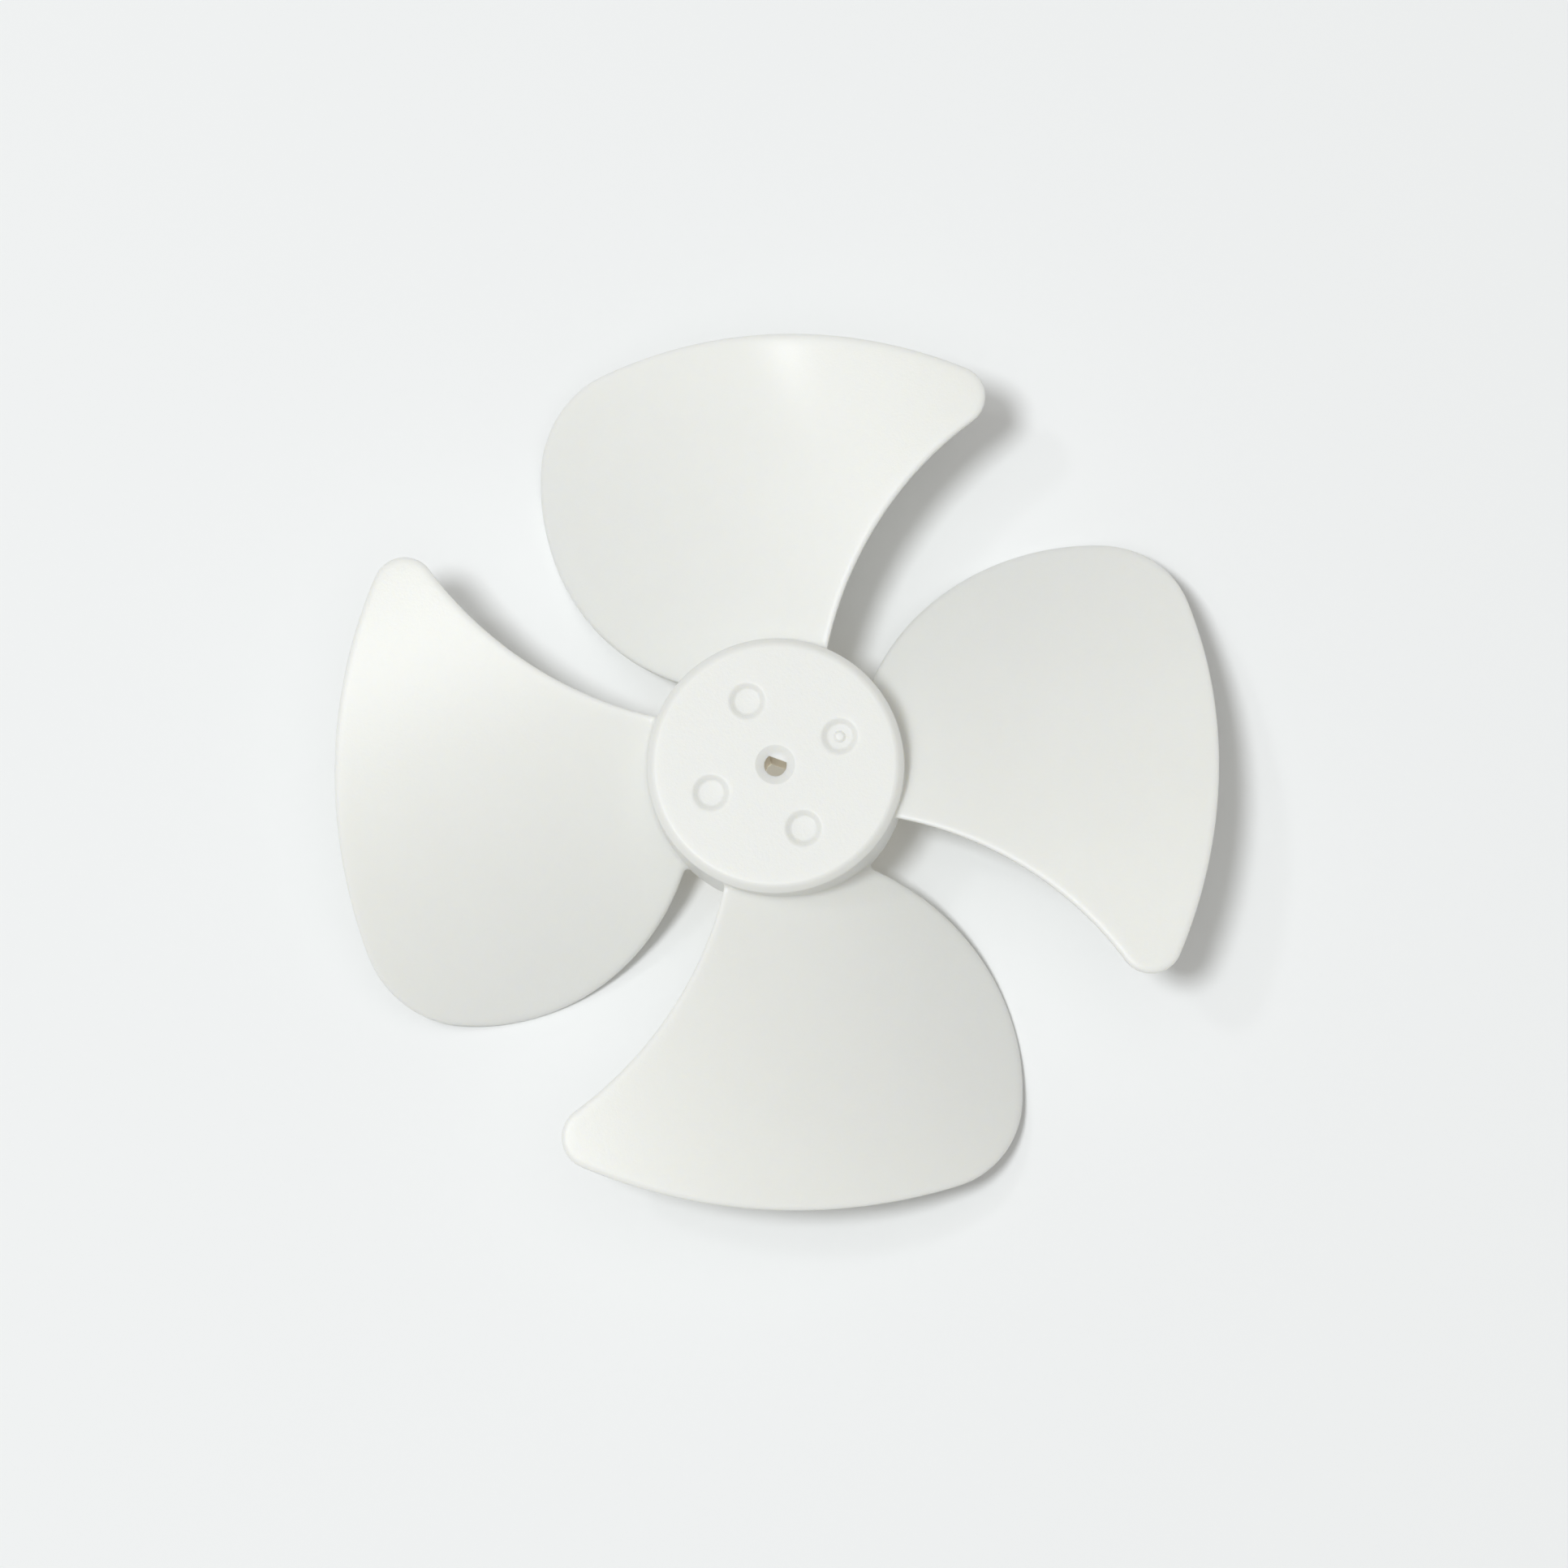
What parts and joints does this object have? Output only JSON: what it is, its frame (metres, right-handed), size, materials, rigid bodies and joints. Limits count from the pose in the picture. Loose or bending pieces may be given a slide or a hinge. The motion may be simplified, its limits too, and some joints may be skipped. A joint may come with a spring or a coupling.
{
  "type": "fan blade",
  "caption": "Moulded white plastic axial fan wheel with swept cambered blades on a closed cup hub, pushed onto a D-shaped motor shaft.",
  "frame": {"origin": "on the shaft axis, at the level of the low trailing edges that the wheel stands on", "axes": "+Z along the shaft, towards the closed face of the hub; +X and +Y to the right and to the top of the picture"},
  "size_m": [0.1264, 0.1264, 0.0237],
  "materials": {
    "white_plastic": "natural white moulded plastic, satin, slightly translucent"
  },
  "bodies": {
    "root": {"fan_blade": "white_plastic"}
  },
  "joints": []
}
